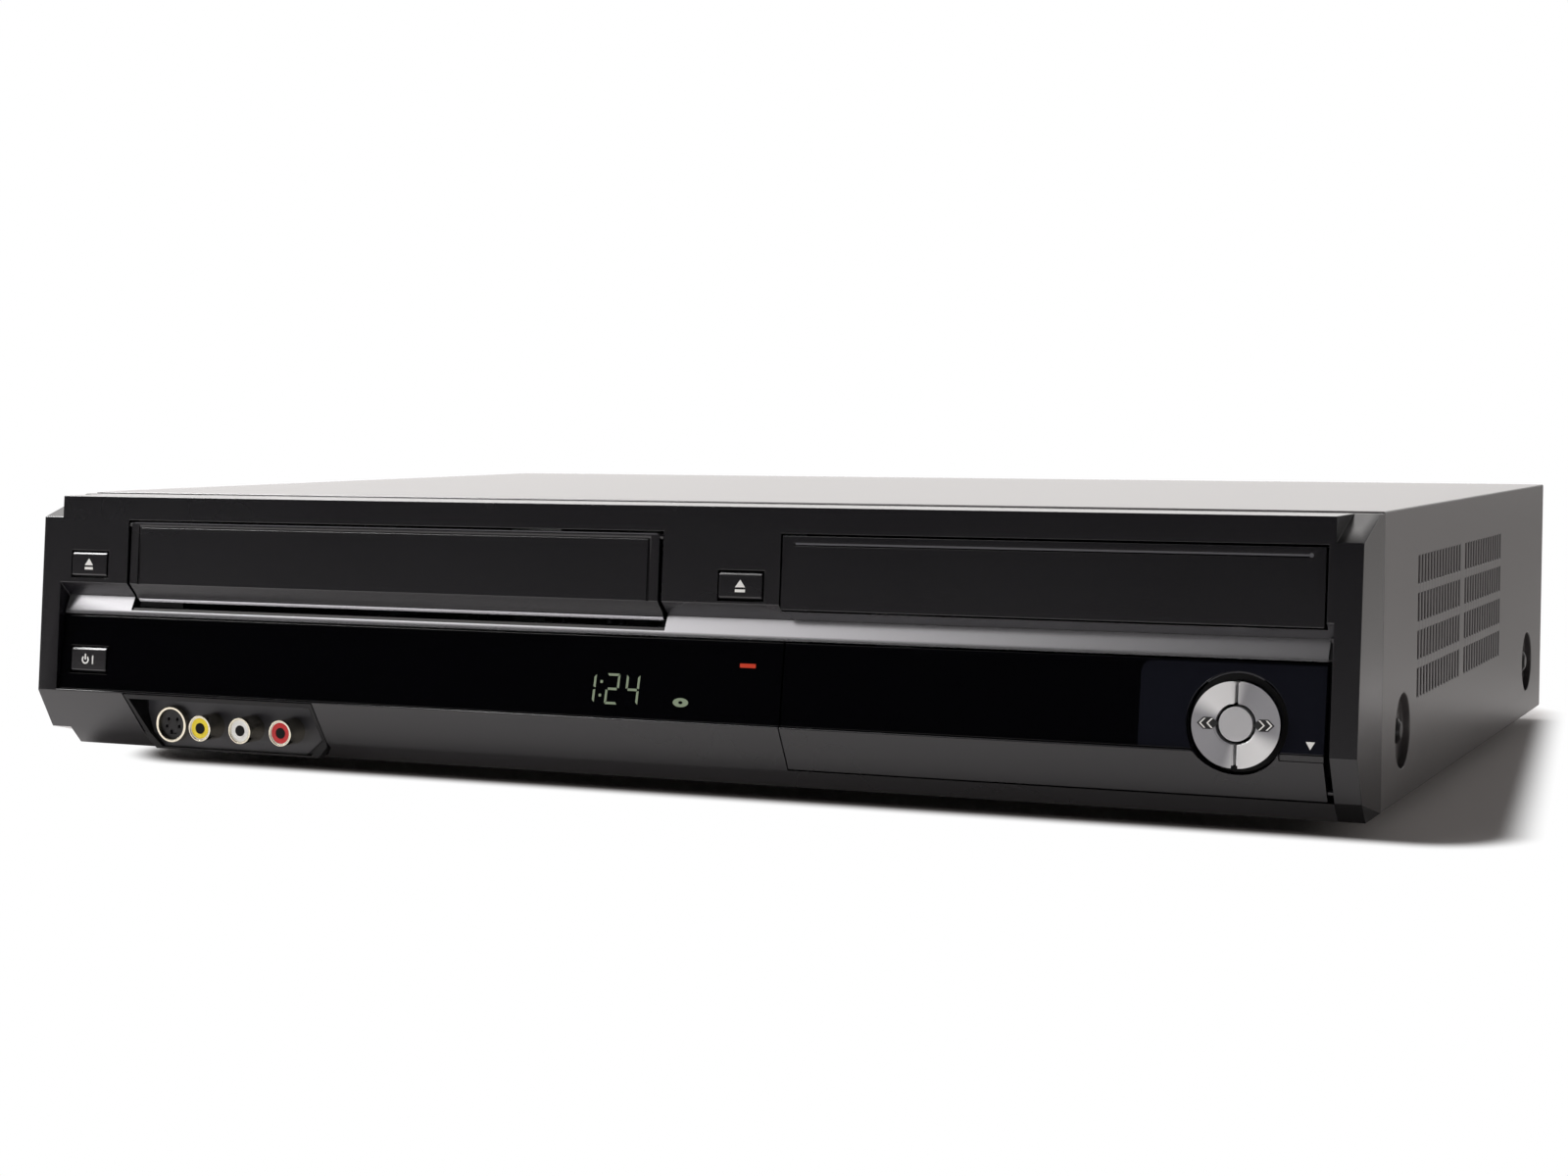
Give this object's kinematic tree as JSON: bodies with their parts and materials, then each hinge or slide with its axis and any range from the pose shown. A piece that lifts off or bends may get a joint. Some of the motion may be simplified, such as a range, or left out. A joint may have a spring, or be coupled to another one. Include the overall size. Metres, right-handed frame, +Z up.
{
  "type": "dvd recorder",
  "caption": "Black and silver disc and video cassette recorder with hinged cassette flap, sliding disc tray, drop-down control door, ring key and front sockets.",
  "frame": {"origin": "on the shelf plane, under the middle of the overall box", "axes": "+X to the user's right along the front, +Y towards the back, +Z up"},
  "size_m": [0.43, 0.3282, 0.087],
  "materials": {
    "painted_steel": "satin grey paint",
    "zinc_steel": "plain zinc-plated sheet",
    "black_plastic": "matt moulded black",
    "satin_black": "satin black paint on plastic",
    "dark_key": "satin dark grey",
    "pad_rubber": "dull black",
    "dark_screw": "black oxide",
    "silver_paint": "silver metallic paint",
    "smoked_panel": "polished smoke black",
    "spun_metal": "spun metallic",
    "grey_cap": "satin grey",
    "yellow_plastic": "matt",
    "white_plastic": "matt",
    "red_plastic": "matt",
    "nickel": "bright nickel plate",
    "drum_metal": "machined",
    "circuit_board": "green board with dark parts",
    "tube_glass": "dark tinted glass"
  },
  "bodies": {
    "case": {"top_cover": "painted_steel", "chassis_pan": "zinc_steel", "feet": "black_plastic", "foot_pads": "pad_rubber", "cover_screws": "dark_screw", "front_fascia": "satin_black", "silver_trim": "silver_paint", "display_window": "smoked_panel", "ring_cap": "grey_cap", "control_panel": "black_plastic", "jack_bay": "black_plastic", "video_jack": "yellow_plastic", "audio_jack_left": "white_plastic", "audio_jack_right": "red_plastic", "jack_shells": "nickel", "jack_block": "black_plastic", "drive_case": "black_plastic", "drive_lid": "zinc_steel", "tray_motor": "zinc_steel", "traverse_unit": "zinc_steel", "disc_clamper": "black_plastic", "deck_plate": "zinc_steel", "head_drum_lower": "drum_metal", "tape_guides": "drum_metal", "main_board": "circuit_board", "power_board": "circuit_board", "socket_board": "circuit_board", "display_board": "circuit_board", "display_tube": "tube_glass", "tuner_can": "zinc_steel", "fan_frame": "black_plastic", "rear_panel": "zinc_steel", "rear_socket_shells": "nickel", "rear_socket_cores": "black_plastic", "mains_inlet": "black_plastic"},
    "flap": {"cassette_flap": "satin_black"},
    "door": {"control_door": "satin_black", "door_panel": "smoked_panel"},
    "tray": {"disc_tray": "black_plastic", "tray_front": "satin_black"},
    "tray_pinion": {"tray_gear": "white_plastic"},
    "eject_button": {"eject_key": "satin_black"},
    "open_close_button": {"open_close_key": "satin_black"},
    "power_button": {"power_key": "satin_black"},
    "ring_left": {"ring_key_left": "spun_metal"},
    "ring_right": {"ring_key_right": "spun_metal"},
    "button_1": {"small_key_1": "dark_key"},
    "button_2": {"small_key_2": "dark_key"},
    "button_3": {"small_key_3": "dark_key"},
    "button_4": {"small_key_4": "dark_key"},
    "carrier": {"cassette_carrier": "zinc_steel"},
    "supply_reel": {"supply_reel_table": "black_plastic"},
    "take_up_reel": {"take_up_reel_table": "black_plastic"},
    "drum": {"head_drum_upper": "drum_metal"},
    "capstan_shaft": {"capstan": "drum_metal"},
    "pinch_lever": {"pinch_arm": "zinc_steel"},
    "pinch_wheel": {"pinch_roller": "pad_rubber"},
    "spindle": {"turntable": "black_plastic"},
    "sled": {"pickup_sled": "dark_key"},
    "fan": {"fan_rotor": "black_plastic"}
  },
  "joints": [
    {"name": "flap_hinge", "type": "hinge", "parent": "case", "child": "flap", "pos_m": [-0.08495, -0.15799, 0.0774], "axis": [1, 0, 0], "range_deg": [0, 88], "stiffness_Nm_per_rad": 0.004, "springref_deg": -17.19},
    {"name": "door_hinge", "type": "hinge", "parent": "case", "child": "door", "pos_m": [0.1283, -0.15663, 0.0136], "axis": [1, 0, 0], "range_deg": [0, 88]},
    {"name": "tray_slide", "type": "slide", "parent": "case", "child": "tray", "axis": [0, -1, 0], "range_m": [0, 0.14]},
    {"name": "tray_gear_turn", "type": "hinge", "parent": "case", "child": "tray_pinion", "pos_m": [0.07945, -0.13987, 0.059], "axis": [0, 0, 1], "range_deg": [0, 900]},
    {"name": "eject_press", "type": "slide", "parent": "case", "child": "eject_button", "axis": [0, 1, 0], "range_m": [0, 0.0012], "stiffness_N_per_m": 400, "springref_m": -0.002},
    {"name": "open_close_press", "type": "slide", "parent": "case", "child": "open_close_button", "axis": [0, 1, 0], "range_m": [0, 0.0012], "stiffness_N_per_m": 400, "springref_m": -0.002},
    {"name": "power_press", "type": "slide", "parent": "case", "child": "power_button", "axis": [0, 1, 0], "range_m": [0, 0.0012], "stiffness_N_per_m": 400, "springref_m": -0.002},
    {"name": "ring_left_press", "type": "slide", "parent": "case", "child": "ring_left", "axis": [0, 1, 0], "range_m": [0, 0.0012], "stiffness_N_per_m": 400, "springref_m": -0.002},
    {"name": "ring_right_press", "type": "slide", "parent": "case", "child": "ring_right", "axis": [0, 1, 0], "range_m": [0, 0.0012], "stiffness_N_per_m": 400, "springref_m": -0.002},
    {"name": "button_1_press", "type": "slide", "parent": "case", "child": "button_1", "axis": [0, 1, 0], "range_m": [0, 0.0012], "stiffness_N_per_m": 400, "springref_m": -0.002},
    {"name": "button_2_press", "type": "slide", "parent": "case", "child": "button_2", "axis": [0, 1, 0], "range_m": [0, 0.0012], "stiffness_N_per_m": 400, "springref_m": -0.002},
    {"name": "button_3_press", "type": "slide", "parent": "case", "child": "button_3", "axis": [0, 1, 0], "range_m": [0, 0.0012], "stiffness_N_per_m": 400, "springref_m": -0.002},
    {"name": "button_4_press", "type": "slide", "parent": "case", "child": "button_4", "axis": [0, 1, 0], "range_m": [0, 0.0012], "stiffness_N_per_m": 400, "springref_m": -0.002},
    {"name": "carrier_slide", "type": "slide", "parent": "case", "child": "carrier", "axis": [0, 1, 0], "range_m": [0, 0.07]},
    {"name": "supply_reel_spin", "type": "hinge", "parent": "case", "child": "supply_reel", "pos_m": [-0.13095, -0.01615, 0.02], "axis": [0, 0, 1], "continuous": true},
    {"name": "take_up_reel_spin", "type": "hinge", "parent": "case", "child": "take_up_reel", "pos_m": [-0.03895, -0.01615, 0.02], "axis": [0, 0, 1], "continuous": true},
    {"name": "drum_spin", "type": "hinge", "parent": "case", "child": "drum", "pos_m": [-0.08495, 0.08585, 0.02], "axis": [0.0872, 0, 0.9962], "continuous": true},
    {"name": "capstan_spin", "type": "hinge", "parent": "case", "child": "capstan_shaft", "pos_m": [-0.03095, 0.06185, 0.02], "axis": [0, 0, 1], "continuous": true},
    {"name": "pinch_swing", "type": "hinge", "parent": "case", "child": "pinch_lever", "pos_m": [-0.00495, 0.07185, 0.025], "axis": [0, 0, -1], "range_deg": [0, 20], "stiffness_Nm_per_rad": 0.02, "springref_deg": -11.46},
    {"name": "pinch_roller_spin", "type": "hinge", "parent": "pinch_lever", "child": "pinch_wheel", "pos_m": [-0.01722, 0.0567, 0.03], "axis": [0, 0, 1], "continuous": true},
    {"name": "turntable_spin", "type": "hinge", "parent": "case", "child": "spindle", "pos_m": [0.1273, -0.08615, 0.058], "axis": [0, 0, 1], "continuous": true},
    {"name": "sled_slide", "type": "slide", "parent": "case", "child": "sled", "axis": [0, 1, 0], "range_m": [0, 0.034]},
    {"name": "fan_spin", "type": "hinge", "parent": "case", "child": "fan", "pos_m": [0.104, 0.147, 0.046], "axis": [0, 1, 0], "continuous": true}
  ],
  "couplings": [
    {"joint": "tray_gear_turn", "follows": "tray_slide", "rad_per_m": 111.11}
  ]
}
